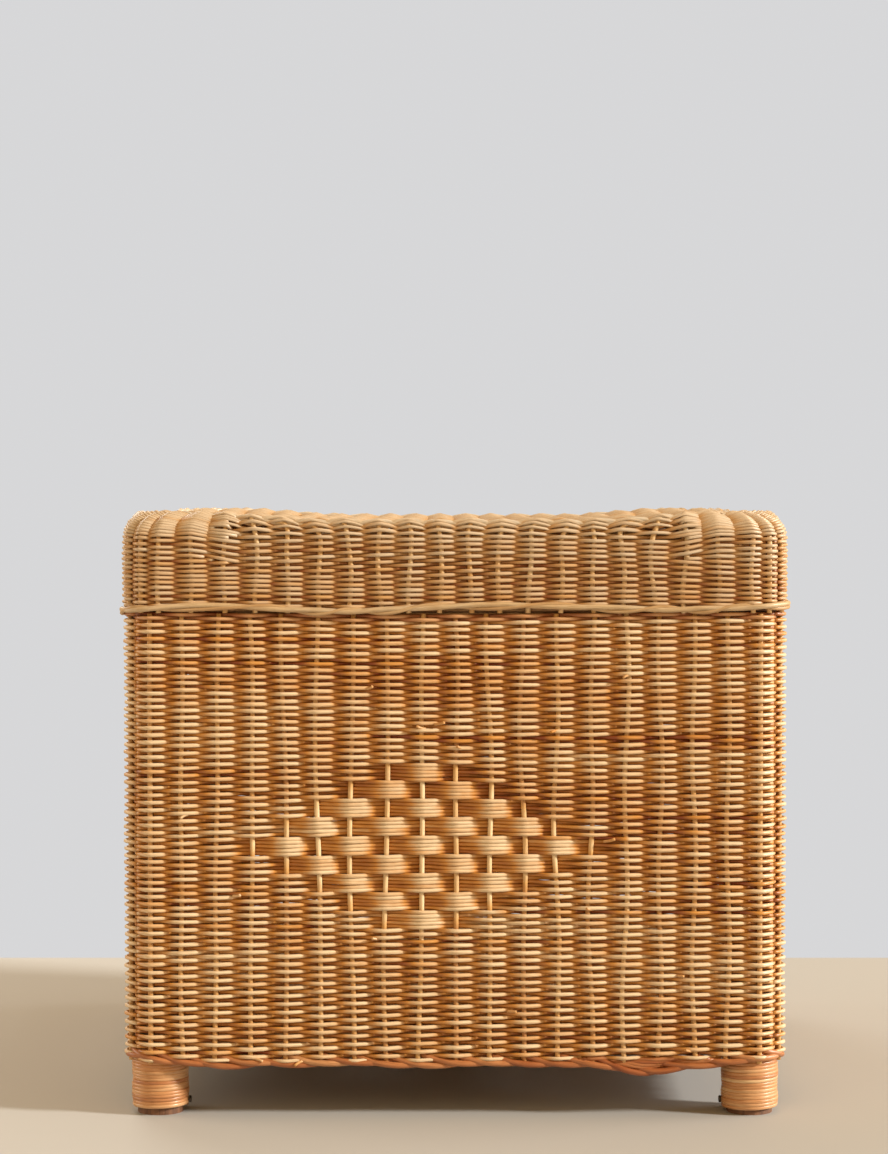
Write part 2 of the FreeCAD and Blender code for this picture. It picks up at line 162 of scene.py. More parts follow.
def wobble(seed, along=7, up=9, waves=7):
    """A smooth wandering between about -1 and 1 of a share of the way round and a height share."""
    rng = np.random.default_rng(seed)
    round_waves = rng.integers(1, along + 1, waves)
    up_waves = rng.uniform(0.5, up, waves)
    phase = rng.uniform(0, 2 * np.pi, waves)
    size = 1 / np.sqrt(waves / 2)

    def value(a, h):
        total = 0
        for i in range(waves):
            total = total + np.sin(2 * np.pi * (round_waves[i] * a + up_waves[i] * h) + phase[i])
        return total * size * 0.7

    return value


def smooth_step(value, low, high):
    share = np.clip((value - low) / (high - low), 0, 1)
    return share * share * (3 - 2 * share)


def painted_shade(offset, shift=0.0):
    """Painted shade: pale where a strand stands out and dark where it dives behind a stake. With a
    shift, it is painted paler where it leaves a stake than where it comes forward, as painted light."""
    coming = np.sign(np.gradient(offset))
    return 0.58 * smooth_step(offset - shift * coming, -0.10, 0.60) - 0.33


def turn_side(points, side):
    """Front-side points, turned to another side."""
    angle = SIDES.index(side) * math.pi / 2
    c, s = math.cos(angle), math.sin(angle)
    points = np.asarray(points, float)
    x, y, z = points[..., 0], points[..., 1], points[..., 2]
    return np.stack([c * x - s * y, s * x + c * y, z], axis=-1)


def side_line(t, line, post):
    """Where t is on the front side's stake line, and the way out there, both seen from above."""
    t = np.asarray(t, float)
    radius = line - post
    turn = np.clip((np.abs(t) - post) / radius, 0, None)
    sign = np.sign(t)
    x = np.where(turn > 0, sign * (post + radius * np.sin(turn)), t)
    y = np.where(turn > 0, -post - radius * np.cos(turn), -line)
    return x, y, sign * np.sin(turn), -np.cos(turn)


def stake_ts(line, post, pitch, count, in_corner, spaced=lambda t: t):
    """Stakes of one side: on the straight at the pitch, and evenly round the corners."""
    half = pitch * (count - 1) / 2
    straight = [spaced(-half + pitch * i) for i in range(count)]
    last = straight[-1]
    radius = line - post
    step = (2 * (post - last) + radius * math.pi / 2) / (in_corner + 1)
    return np.array([-last - step] + straight + [last + step])


# A strand bends sharply at each stake, runs nearly straight, and dives half-way to the next.
SHARES = np.array([0.0, 0.08, 0.36, 0.5, 0.64, 0.92])
REACHES = np.array([1.0, 0.92, 0.40, 0.0, -0.40, -0.92])


def swing(sign_from, sign_to, u):
    """How far a strand is in front of (+1) or behind (-1) the stakes, between two of them."""
    reach = np.interp(u, np.append(SHARES, 1.0), np.append(REACHES, -1.0))
    return (sign_from + sign_to) / 2 + (sign_from - sign_to) / 2 * reach


# ---------------------------------------------------------------- materials
def node_of(tree, kind, **inputs):
    made = tree.nodes.new(kind)
    for name, value in inputs.items():
        made.inputs[name.replace("_", " ")].default_value = value
    return made


def ramp(tree, stops):
    made = tree.nodes.new("ShaderNodeValToRGB")
    elements = made.color_ramp.elements
    while len(elements) < len(stops):
        elements.new(0.5)
    for element, (place, colour) in zip(elements, stops):
        element.position = place
        element.color = (*colour, 1)
    return made


def mix(tree, blend, factor, a, b):
    made = tree.nodes.new("ShaderNodeMix")
    made.data_type = "RGBA"
    made.blend_type = blend
    made.inputs[0].default_value = factor
    tree.links.new(a, made.inputs[6])
    tree.links.new(b, made.inputs[7])
    return made.outputs[2]


def maths(tree, operation, a, b):
    made = tree.nodes.new("ShaderNodeMath")
    made.operation = operation
    for socket, value in zip(made.inputs, (a, b)):
        if isinstance(value, float):
            socket.default_value = value
        else:
            tree.links.new(value, socket)
    return made.outputs[0]


def swayed(tree, value, noise, amount):
    """A value moved up and down by noise, evenly about the noise's middle."""
    centred = maths(tree, "SUBTRACT", noise, 0.5)
    return maths(tree, "ADD", value, maths(tree, "MULTIPLY", centred, amount))


def start_material(name):
    material = bpy.data.materials.new(name)
    material.use_nodes = True
    tree = material.node_tree
    shader = tree.nodes["Principled BSDF"]
    return material, tree, shader


def stretched_noise(tree, source, stretch, scale, detail=3.0):
    """Noise that is drawn out along the axis with the smallest stretch."""
    mapping = tree.nodes.new("ShaderNodeMapping")
    mapping.inputs["Scale"].default_value = stretch
    tree.links.new(source, mapping.inputs["Vector"])
    noise = node_of(tree, "ShaderNodeTexNoise", Scale=scale, Detail=detail, Roughness=0.6)
    tree.links.new(mapping.outputs[0], noise.inputs["Vector"])
    return noise.outputs["Fac"]


STAIN_AMOUNT = 0.55              # how far stains over several strands move the tone
BLOTCH_AMOUNT = 0.45             # how far blotches along one strand move it


def reed(name, dark, middle, pale, roughness=0.42, coat=0.25):
    """Round reed: a tone for each strand, stains over several strands, and fibres along it."""
    material, tree, shader = start_material(name)
    tone = tree.nodes.new("ShaderNodeAttribute")
    tone.attribute_name = "tone"
    grain = tree.nodes.new("ShaderNodeAttribute")
    grain.attribute_name = "grain"
    place = tree.nodes.new("ShaderNodeTexCoord")
    stain = node_of(tree, "ShaderNodeTexNoise", Scale=22.0, Detail=4.0, Roughness=0.6)
    tree.links.new(place.outputs["Object"], stain.inputs["Vector"])
    shade = swayed(tree, tone.outputs["Fac"], stain.outputs["Fac"], STAIN_AMOUNT)
    blotch = stretched_noise(tree, grain.outputs["Vector"], (60, 150, 150), 1.0)
    shade = swayed(tree, shade, blotch, BLOTCH_AMOUNT)
    colours = ramp(tree, [(0.0, dark), (0.5, middle), (1.0, pale)])
    tree.links.new(shade, colours.inputs["Fac"])
    fibre = stretched_noise(tree, grain.outputs["Vector"], (90, 2600, 2600), 1.0, 4.0)
    fibres = ramp(tree, [(0.3, (0.62, 0.55, 0.48)), (0.55, (1, 1, 1)), (0.8, (1.0, 0.98, 0.94))])
    tree.links.new(fibre, fibres.inputs["Fac"])
    base = mix(tree, "MULTIPLY", 0.8, colours.outputs["Color"], fibres.outputs["Color"])
    tree.links.new(base, shader.inputs["Base Color"])
    rough = maths(tree, "ADD", maths(tree, "MULTIPLY", fibre, 0.25), roughness - 0.12)
    tree.links.new(rough, shader.inputs["Roughness"])
    bump = node_of(tree, "ShaderNodeBump", Strength=0.5, Distance=0.12 * MM)
    tree.links.new(fibre, bump.inputs["Height"])
    tree.links.new(bump.outputs[0], shader.inputs["Normal"])
    shader.inputs["Coat Weight"].default_value = coat
    shader.inputs["Coat Roughness"].default_value = 0.3
    shader.inputs["Specular IOR Level"].default_value = 0.45
    return material


def timber(name, dark, pale, stretch, roughness=0.6):
    """Sawn or turned wood. Its grain runs along the axis with the smallest stretch."""
    material, tree, shader = start_material(name)
    place = tree.nodes.new("ShaderNodeTexCoord")
    figure = stretched_noise(tree, place.outputs["Object"], stretch, 1.0, 5.0)
    fine = stretched_noise(tree, place.outputs["Object"], tuple(5 * s for s in stretch), 1.0, 3.0)
    colours = ramp(tree, [(0.3, dark), (0.7, pale)])
    tree.links.new(figure, colours.inputs["Fac"])
    pores = ramp(tree, [(0.35, (0.6, 0.55, 0.5)), (0.5, (1, 1, 1))])
    tree.links.new(fine, pores.inputs["Fac"])
    base = mix(tree, "MULTIPLY", 0.7, colours.outputs["Color"], pores.outputs["Color"])
    tree.links.new(base, shader.inputs["Base Color"])
    rough = maths(tree, "ADD", maths(tree, "MULTIPLY", fine, 0.3), roughness - 0.15)
    tree.links.new(rough, shader.inputs["Roughness"])
    bump = node_of(tree, "ShaderNodeBump", Strength=0.4, Distance=0.3 * MM)
    tree.links.new(fine, bump.inputs["Height"])
    tree.links.new(bump.outputs[0], shader.inputs["Normal"])
    return material


def metal(name, clean, worn, roughness):
    """Plated or blued steel with a mottled, rubbed surface."""
    material, tree, shader = start_material(name)
    place = tree.nodes.new("ShaderNodeTexCoord")
    mottle = node_of(tree, "ShaderNodeTexNoise", Scale=260.0, Detail=5.0, Roughness=0.65)
    tree.links.new(place.outputs["Object"], mottle.inputs["Vector"])
    colours = ramp(tree, [(0.4, worn), (0.6, clean)])
    tree.links.new(mottle.outputs["Fac"], colours.inputs["Fac"])
    tree.links.new(colours.outputs["Color"], shader.inputs["Base Color"])
    rough = maths(tree, "ADD", maths(tree, "MULTIPLY", mottle.outputs["Fac"], 0.3), roughness - 0.15)
    tree.links.new(rough, shader.inputs["Roughness"])
    shader.inputs["Metallic"].default_value = 1.0
    bump = node_of(tree, "ShaderNodeBump", Strength=0.3, Distance=0.1 * MM)
    tree.links.new(mottle.outputs["Fac"], bump.inputs["Height"])
    tree.links.new(bump.outputs[0], shader.inputs["Normal"])
    return material


body_reed = reed("body_reed", (0.26, 0.052, 0.004), (0.62, 0.285, 0.058), (0.76, 0.59, 0.38))
stake_reed = reed("stake_reed", (0.34, 0.11, 0.025), (0.66, 0.38, 0.13), (0.88, 0.72, 0.46))
lid_reed = reed("lid_reed", (0.33, 0.10, 0.018), (0.57, 0.325, 0.125), (0.62, 0.49, 0.34))
lid_cane = reed("lid_cane", (0.46, 0.25, 0.09), (0.57, 0.41, 0.23), (0.63, 0.55, 0.43))
# A darker copy of the reed: painted shade for the border under the wall and the rim under the lid's
# rod
border_reed = reed("border_reed", (0.26, 0.06, 0.012), (0.45, 0.175, 0.06), (0.60, 0.33, 0.15))
leg_cane = reed("leg_cane", (0.34, 0.11, 0.04), (0.56, 0.27, 0.11), (0.74, 0.52, 0.29), roughness=0.36)
pole_wood = timber("pole", (0.09, 0.035, 0.018), (0.24, 0.11, 0.05), (160, 160, 12))
frame_timber = timber("frame_timber", (0.36, 0.20, 0.09), (0.56, 0.36, 0.18), (45, 45, 45))
hinge_steel = metal("hinge_steel", (0.50, 0.44, 0.33), (0.30, 0.25, 0.18), 0.42)
tack_steel = metal("tack_steel", (0.10, 0.085, 0.075), (0.045, 0.035, 0.03), 0.5)

slot_material = {
    "body_reed": body_reed, "stake_reed": stake_reed, "lid_reed": lid_reed, "lid_cane": lid_cane,
    "border_reed": border_reed, "leg_cane": leg_cane, "pole": pole_wood, "frame_timber": frame_timber,
    "hinge_steel": hinge_steel, "tack_steel": tack_steel,
}
for part in frame["record"]["subparts"]:
    node = frame["nodes"][part["node"]]
    node.data.materials.clear()
    node.data.materials.append(slot_material[part["material_slot"]])


# ---------------------------------------------------------------- the body's wall
BODY_PITCH = 23.0 * MM
BODY_STAKES = stake_ts(BODY_LINE, BODY_POST, BODY_PITCH, 17, 2)
STRAND = 1.38 * MM
PACKED = 1.42 * MM               # where strands lie side by side on the same stakes
SIDE_REACH = BODY_POST + (BODY_LINE - BODY_POST) * math.pi / 4
ROW_PITCH = 2.66                 # in mm, at the foot of the wall
ROW_CLOSING = 0.36               # in mm, how much closer the rows are at its top
WAVE_HEIGHT = 0.4                # the height that counts as 1 in the smooth wanderings
LEAN = 1.5 * MM                  # how far a stake wanders along the wall
LEAN_STEP = 0.13                 # how much later one stake wanders than the one before it
BODY_TONE = 0.64
BODY_TONE_SPREAD = 0.12
# How much paler the painted light makes the flank of a strand that leaves a stake
BODY_PAINTED_LIGHT_SHIFT = 0.30

stake_lean = wobble(11, along=9, up=3)
row_sag = wobble(23, along=5, up=4)
strand_lift = wobble(31, along=60, up=90, waves=14)
old_stain = wobble(47, along=6, up=7)


def body_rows():
    """Heights of the rows, closer together towards the top."""
    heights = [wall_low.z - 1.0 * MM]
    while heights[-1] < rim_high.z - 3.2 * MM:
        share = (heights[-1] - wall_low.z) / (wall_high.z - wall_low.z)
        heights.append(heights[-1] + (ROW_PITCH - ROW_CLOSING * share) * MM)
    return np.array(heights)


ROWS = body_rows()

# The diamond on the front: nine bands of five strands. The strands of a band all pass outside one
# stake and behind the next, and the bands above and below it do the opposite.
DIAMOND_MIDDLE = 184.5 * MM
DIAMOND_STAKE = 8                # the stake in the middle of the diamond
BAND_ROWS = 5
BANDS = 9
middle_row = int(np.argmin(np.abs(ROWS - DIAMOND_MIDDLE)))


def band_of(row):
    """Which band of the diamond a row is in. It is in one if this is from 0 to BANDS - 1."""
    return (row - middle_row + BAND_ROWS * BANDS // 2) // BAND_ROWS


def over(side, row, stake):
    """+1 where a strand passes outside a stake, -1 where it passes behind."""
    plain = 1 if (row + stake + SIDES.index(side) * len(BODY_STAKES)) % 2 == 0 else -1
    if side != "front":
        return plain
    band = band_of(row)
    if not 0 <= band < BANDS:
        return plain
    reach = min(band, BANDS - 1 - band)
    away = stake - DIAMOND_STAKE
    if abs(away) <= reach + 1:
        return 1 if (away + reach) % 2 == 0 else -1
    return plain


def packed_reach(side, row):
    """How far to each side of the diamond's middle a row belongs to it."""
    band = band_of(row)
    if side != "front" or not 0 <= band < BANDS:
        return 0.0
    return (min(band, BANDS - 1 - band) + 1.3) * BODY_PITCH


def bare_stake(side, stake, heights):
    """1 where a stake stands bare inside the diamond, and 0 elsewhere."""
    if side != "front":
        return 0 * heights
    rise = np.abs(heights - DIAMOND_MIDDLE) / (ROWS[middle_row + BAND_ROWS] - ROWS[middle_row])
    return 1 - smooth_step(rise + abs(stake - DIAMOND_STAKE), BANDS // 2 + 0.8, BANDS // 2 + 1.6)


# Rows of the front that were woven with darker reed, as height, left end and right end in mm, and
# how much darker they are.
DARK_RUNS = [
    (255, -30, 215, 0.42), (257.5, -60, 170, 0.3), (250, 20, 215, 0.25), (232, -214, -120, 0.2),
    (160, 165, 216, 0.35), (157, 150, 216, 0.3), (116, 60, 200, 0.22), (118.5, -30, 110, 0.2),
    (205, 120, 216, 0.2), (90, -216, -100, 0.2), (300, -100, 60, 0.12), (75, 100, 216, 0.18),
]


def row_tones(seed, t, height, turn_share):
    """The tone of one row along a side: it changes where one strand ends and the next begins."""
    rng = np.random.default_rng(seed)
    joins = np.sort(rng.uniform(-1.6, 1.6, rng.integers(1, 4)) * SIDE_REACH)
    levels = rng.normal(BODY_TONE, BODY_TONE_SPREAD, len(joins) + 1)
    tone = levels[np.searchsorted(joins, t)]
    return tone + 0.10 * old_stain(turn_share, height / WAVE_HEIGHT)


def side_share(side, t, reach):
    """How far round the trunk a place is, from 0 to 1, where a side runs from -reach to reach."""
    return (SIDES.index(side) + 0.5 + np.asarray(t) / (2 * reach)) / 4


def weave_side(side, rim):
    """The rows and stakes of one side. Its top rows go to the rim, which all four sides share."""
    strands = Strands(f"woven_wall_{side}")
    stakes = Strands(f"wall_stake_canes_{side}", sides=8)

    def share_of(t):
        return side_share(side, t, SIDE_REACH)

    rng = np.random.default_rng(100 + SIDES.index(side))
    jitter = rng.normal(0, 0.14 * MM, (len(ROWS), len(BODY_STAKES)))
    for row, height in enumerate(ROWS):
        share_up = height / WAVE_HEIGHT + np.arange(len(BODY_STAKES)) * LEAN_STEP
        lean = LEAN * stake_lean(share_of(BODY_STAKES), share_up)
        at = BODY_STAKES + lean * (np.abs(BODY_STAKES) < BODY_POST)
        signs = np.array([over(side, row, i) for i in range(len(BODY_STAKES))])
        ends = [-SIDE_REACH, SIDE_REACH]
        ts, offset, lift = [], [], []
        knots = np.concatenate([[2 * ends[0] - at[0]], at, [2 * ends[1] - at[-1]]])
        signs = np.concatenate([[-signs[0]], signs, [-signs[-1]]])
        jits = np.concatenate([[0], jitter[row], [0]])
        u = SHARES
        for i in range(len(knots) - 1):
            ts.append(knots[i] + (knots[i + 1] - knots[i]) * u)
            offset.append(swing(signs[i], signs[i + 1], u))
            lift.append(jits[i] + (jits[i + 1] - jits[i]) * (3 * u ** 2 - 2 * u ** 3))
        t, offset, lift = (np.concatenate(parts) for parts in (ts, offset, lift))
        inside = (t > ends[0] + 1e-5) & (t < ends[1] - 1e-5)
        t = np.concatenate([[ends[0]], t[inside], [ends[1]]])
        offset = np.concatenate([[0], offset[inside], [0]])
        lift = np.concatenate([[0], lift[inside], [0]])
        x, y, nx, ny = side_line(t, BODY_LINE, BODY_POST)
        depth = STAKE_RADIUS + STRAND * 0.97
        level = height + lift + 0.9 * MM * row_sag(share_of(t), height / WAVE_HEIGHT)
        wander = 0.22 * MM * strand_lift(share_of(t), height / WAVE_HEIGHT)
        out = offset * depth + wander
        line = np.stack([x + nx * out, y + ny * out, level + wander * 0.6], axis=1)
        normal = np.stack([nx, ny, np.zeros_like(nx)], axis=1)
        tone = row_tones(row * 4 + SIDES.index(side), t, height, share_of(t))
        # Painted shade where the strand dives behind stakes, and painted light on the flank leaving
        # each stake
        tone = tone + painted_shade(offset, BODY_PAINTED_LIGHT_SHIFT)
        if side == "front":
            for run_height, left, right, amount in DARK_RUNS:
                if abs(height - run_height * MM) < 1.3 * MM:
                    tone = tone - amount * ((t > left * MM) & (t < right * MM))
        packed = packed_reach(side, row)
        thick = np.where(np.abs(t - BODY_STAKES[DIAMOND_STAKE]) < packed, PACKED, STRAND)
        radius = thick * (1 + 0.05 * rng.normal())
        rods = strands if height < rim_low.z + 0.8 * MM else rim
        rods.add(turn_side(line, side), turn_side(normal, side), radius, radius, tone)
    heights = np.linspace(border_low.z + 6 * MM, rim_high.z - 0.6 * MM, 44)
    for i, place in enumerate(BODY_STAKES):
        lean = LEAN * stake_lean(share_of(place), heights / WAVE_HEIGHT + i * LEAN_STEP)
        t = place + lean * (abs(place) < BODY_POST)
        x, y, nx, ny = side_line(t, BODY_LINE, BODY_POST)
        line = np.stack([x, y, heights], axis=1)
        normal = np.stack([nx, ny, np.zeros_like(nx)], axis=1)
        tone = rng.normal(0.42, 0.08) + 0.4 * bare_stake(side, i, heights)
        stakes.add(turn_side(line, side), turn_side(normal, side), CANE, CANE, tone)
    strands.build(body_reed, "trunk_body", "body_reed", f"wall_weave_{side}")
    stakes.build(stake_reed, "trunk_body", "stake_reed", f"wall_stakes_{side}")


# The rim rods take the darker border reed, as painted shade under the lid's rod
rim = Strands("rim_rods")
for side in SIDES:
    weave_side(side, rim)
rim.build(border_reed, "trunk_body", "border_reed", "body_rim")


# ---------------------------------------------------------------- the floor mat
def flat_mat(strands, rows, columns, reach_of, height_of, strand, stake, tone, rng, steps=4):
    """Strands along X at each row's Y, over and under the columns. reach_of(y) is half a row."""
    for row, y in enumerate(rows):
        reach = reach_of(y)
        inner = [i for i, x in enumerate(columns) if abs(x) < reach - 2 * MM]
        knots = np.concatenate([[-reach], columns[inner], [reach]])
        signs = [1 if (row + i) % 2 == 0 else -1 for i in inner]
        signs = np.array([0] + signs + [0])
        u = np.arange(steps) / steps
        xs, offs = [], []
        for i in range(len(knots) - 1):
            xs.append(knots[i] + (knots[i + 1] - knots[i]) * u)
            offs.append(swing(signs[i], signs[i + 1], u))
        x = np.concatenate(xs + [[reach]])
        off = np.concatenate(offs + [[0]])
        z = height_of(x, y) + off * (stake + strand * 0.95)
        line = np.stack([x, np.full_like(x, y) + 0.15 * MM * rng.normal(), z], axis=1)
        radius = strand * (1 + 0.06 * rng.normal())
        # The tone carries painted shade where the strand dives under a column
        strands.add(line, (0, 0, 1), radius, radius, rng.normal(tone, 0.12) + painted_shade(off))


def mat_stakes(strands, columns, reach_of, height_of, stake, tone, rng):
    for x in columns:
        reach = reach_of(x)
        y = np.linspace(-reach, reach, 30)
        line = np.stack([np.full_like(y, x), y, height_of(x, y)], axis=1)
        strands.add(line, (0, 0, 1), stake, stake, rng.normal(tone, 0.1))


floor_rng = np.random.default_rng(7)
floor_half = floor_high.x - 1.5 * MM
notch = BODY_POST - POST_RADIUS - 2 * MM
floor_level = (floor_low.z + floor_high.z) / 2
FLOOR_PITCH = 2.9 * MM
FLOOR_STRAND = 1.3 * MM


def floor_reach(y):
    """Half the floor's width at a distance y from its middle, less at the ends for the posts."""
    return floor_half if abs(y) < notch else notch


def floor_height(x, y):
    """The floor is level."""
    return floor_level + 0 * (x + y)


floor_mat = Strands("woven_floor")
floor_rows = np.arange(-floor_half + 2 * MM, floor_half - 2 * MM, FLOOR_PITCH)
floor_columns = np.array([BODY_PITCH * i for i in range(-9, 10)])
flat_mat(floor_mat, floor_rows, floor_columns, floor_reach, floor_height,
         FLOOR_STRAND, STAKE_RADIUS, 0.5, floor_rng)
mat_stakes(floor_mat, floor_columns, floor_reach, floor_height, STAKE_RADIUS, 0.6, floor_rng)
floor_mat.build(body_reed, "trunk_body", "body_reed", "floor_mat")


# ---------------------------------------------------------------- the border under the wall
def round_line(t_all, line, post):
    """Points and ways out all round the trunk, for t counted on through the four sides."""
    reach = post + (line - post) * math.pi / 4
    turns = np.floor((t_all + reach) / (2 * reach)).astype(int)
    local = t_all - turns * 2 * reach
    x, y, nx, ny = side_line(local, line, post)
    points = np.stack([x, y, np.zeros_like(x)], axis=1)
    outs = np.stack([nx, ny, np.zeros_like(x)], axis=1)
    for turn in np.unique(turns):
        pick = turns == turn
        side = SIDES[turn % 4]
        points[pick] = turn_side(points[pick], side)
        outs[pick] = turn_side(outs[pick], side)
    return points, outs


def all_stakes(stakes, line, post):
    reach = post + (line - post) * math.pi / 4
    return np.concatenate([stakes + 2 * reach * i for i in range(4)])


SAG = 6.0 * MM
SAG_PLACE = 129 * MM
SAG_WIDTH = 24 * MM
SMALL_SAG = 1.0 * MM
SMALL_SAG_PLACE = -150 * MM
LEG_RISE = 4.2 * MM
LEG_RISE_WIDTH = 24 * MM


def hump(value, width):
    """1 where the value is 0, and falling away smoothly to both sides."""
    return np.exp(-(value / width) ** 2)


def border_sag(t):
    """The border hangs lower at two places on the front, and rises over the four legs."""
    sag = SAG * hump(t - SAG_PLACE, SAG_WIDTH) + SMALL_SAG * hump(t - SMALL_SAG_PLACE, SAG_WIDTH)
    to_corner = SIDE_REACH - np.abs((t + SIDE_REACH) % (2 * SIDE_REACH) - SIDE_REACH)
    return sag - LEG_RISE * hump(to_corner, LEG_RISE_WIDTH)


# The border takes the darker border reed, as painted shade at the wall's foot
border = Strands("plaited_border", sides=8)
border_rng = np.random.default_rng(61)
stake_all = all_stakes(BODY_STAKES, BODY_LINE, BODY_POST)
loop_length = 8 * SIDE_REACH
for i, start in enumerate(stake_all):
    end = start + (stake_all[(i + 3) % len(stake_all)] - start) % loop_length
    u = np.linspace(0, 1, 16)
    t = start + (end - start) * u
    points, outs = round_line(t, BODY_LINE, BODY_POST)
    drop = (6.4 + 0.7 * border_rng.normal()) * MM
    z = wall_low.z + 1.4 * MM - drop * np.sin(np.pi * u) ** 0.7 - border_sag(t)
    out = (-2.2 + 5.2 * np.sin(np.pi * np.clip(u * 1.25, 0, 1)) - 2.4 * u) * MM
    points = points + outs * out[:, None]
    points[:, 2] = z
    radius = 2.35 * MM * (1 - 0.22 * u)
    border.add(points, outs, radius, radius, border_rng.normal(0.42, 0.12))
# Where the border hangs lowest, more rods fill the space above it.
for share in (0.15, 0.4, 0.62, 0.82):
    t = SAG_PLACE + np.linspace(-2.1, 2.1, 30) * SAG_WIDTH * (0.75 + 0.25 * share)
    points, outs = round_line(t, BODY_LINE, BODY_POST)
    points = points + outs * (1.6 * MM * np.cos(np.pi * t / BODY_PITCH + 3 * share))[:, None]
    points[:, 2] = wall_low.z - 0.6 * MM - 0.9 * share * border_sag(t) - 2.4 * MM * share
    border.add(points, outs, 1.5 * MM, 1.5 * MM, border_rng.normal(0.42, 0.1))
border.build(border_reed, "trunk_body", "border_reed", "foot_border")


# ---------------------------------------------------------------- the legs
def wrap_leg(corner):
    rng = np.random.default_rng(200 + CORNERS.index(corner))
    low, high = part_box(f"leg_wrap_{corner}")
    centre = (low + high) / 2
    cane = Strands(f"leg_winding_{corner}", sides=8)
    pitch = 2.3 * MM
    turns = (wall_low.z - low.z - 1.5 * MM) / pitch
    angle = np.linspace(0, 2 * np.pi * turns, int(40 * turns))
    slow_slip = 0.25 * MM * np.sin(angle * 0.13 + rng.uniform(0, 6))
    slip = slow_slip + 0.12 * MM * np.sin(angle * 0.71 + rng.uniform(0, 6))
    half_thickness = 0.85 * MM
    radius = WRAP_RADIUS - half_thickness - 0.1 * MM + slip
    z = low.z + 1.1 * MM + pitch * angle / (2 * np.pi) + 0.15 * MM * np.sin(angle * 0.37)
    start = rng.uniform(0, 6)
    outs = np.stack([np.cos(angle + start), np.sin(angle + start), np.zeros_like(angle)], axis=1)
    line = outs * radius[:, None] + np.array([centre.x, centre.y, 0])
    line[:, 2] = z
    tone = 0.55 + 0.18 * np.interp(angle, np.arange(0, 400, 4), rng.normal(0, 1, 100))
    cane.add(line, outs, half_thickness, 1.45 * MM, tone)
    cane.build(leg_cane, "trunk_body", "leg_cane", f"leg_wrap_{corner}")


for corner in CORNERS:
    wrap_leg(corner)


# ---------------------------------------------------------------- the lid's sides
LID_PITCH = 20.2 * MM


def spread(t):
    """The lid's stakes stand a little further apart towards the corners."""
    return t * (1 + 0.04 * (t / (9.5 * LID_PITCH)) ** 2)


LID_STAKES = stake_ts(LID_LINE, LID_POST, LID_PITCH, 20, 2, spread)
LID_REACH = LID_POST + (LID_LINE - LID_POST) * math.pi / 4
LID_STRAND = 1.06 * MM
LID_STRAND_UP = 1.22 * MM
CREST_LINE = (wale_high.x - wale_low.x) / 2 - 1.5 * MM     # where the sides meet the top
CREST_POST = 130.0 * MM          # centre of the crest's wide corners
SHOULDER = lid_high.z - 16 * MM  # where the sides begin to round over
CREST = lid_high.z - 4.4 * MM
CORNER_RISE = 4.6 * MM           # how much higher the crest is over the corner posts


def crest_line(share):
    """The crest as a rounded square with wide corners, for a share from -1 to 1 of one side."""
    reach = CREST_POST + (CREST_LINE - CREST_POST) * math.pi / 4
    away = np.abs(share)
    straight = 0.56                        # this much of the side goes with the crest's straight
    eased = np.where(away < straight, away / straight * CREST_POST,
                     CREST_POST + (away - straight) / (1 - straight) * (reach - CREST_POST))
    return side_line(np.sign(share) * eased, CREST_LINE, CREST_POST)


def corner_rise(x, y):
    """The crest and the top are higher over the corner posts."""
    return CORNER_RISE * smooth_step(np.minimum(np.abs(x), np.abs(y)), 92 * MM, 168 * MM)


def lid_surface(t, v):
    """The lid's stake surface: v is 0 at the bottom, 1 at the shoulder and 2 at the crest."""
    share = t / LID_REACH
    x, y, nx, ny = side_line(t, LID_LINE, LID_POST)
    cx, cy, _, _ = crest_line(share)
    corner = smooth_step(np.abs(share), 0.6, 0.9)
    shoulder = SHOULDER - 3 * MM * corner
    bottom = rod_high.z - 1.0 * MM
    crest = CREST + corner_rise(cx, cy)
    turn = np.clip(v - 1, 0, 1) * np.pi / 2
    square = 1 - 0.22 * corner               # the corners are fuller than a quarter round
    blend = 1 - np.clip(np.cos(turn), 0, 1) ** square
    z = bottom + (shoulder - bottom) * np.clip(v, 0, 1) + (crest - shoulder) * np.sin(turn) ** square
    px = x + (cx - x) * blend
    py = y + (cy - y) * blend
    tilt = np.sin(turn)
    level = np.cos(turn)
    normal = np.stack([nx * level, ny * level, tilt + 0 * nx], axis=1)
    normal /= np.linalg.norm(normal, axis=1)[:, None]
    return np.stack([px, py, z + 0 * px], axis=1), normal


lid_lean = wobble(71, along=9, up=3)
lid_sag = wobble(73, along=5, up=3)
WALL_ROWS = 22
CURVE_ROWS = 9
CURVE_END = 1.82
# Short rows wedged in at the corners lift the rows above them there.
WEDGE_ROWS = 4
WEDGE_FOOT = 0.70
WEDGE = WEDGE_ROWS / WALL_ROWS
WEDGE_TONE = 0.58
LID_TONE = 0.50
LID_TONE_SPREAD = 0.13
# How much paler the painted light makes the flank of a lid strand that leaves a stake
LID_PAINTED_LIGHT_SHIFT = 0.22


def lifted(share, v):
    """How much further up the surface a row lies near the corners."""
    return WEDGE * smooth_step(np.abs(share), 0.64, 0.84) * (1 - smooth_step(v, 1.1, 2.0))


def lid_knots(side, v):
    share = side_share(side, LID_STAKES, LID_REACH)
    lean = 1.2 * MM * lid_lean(share, v / 3 + np.arange(len(LID_STAKES)) * 0.15)
    return LID_STAKES + lean * (np.abs(LID_STAKES) < LID_POST)


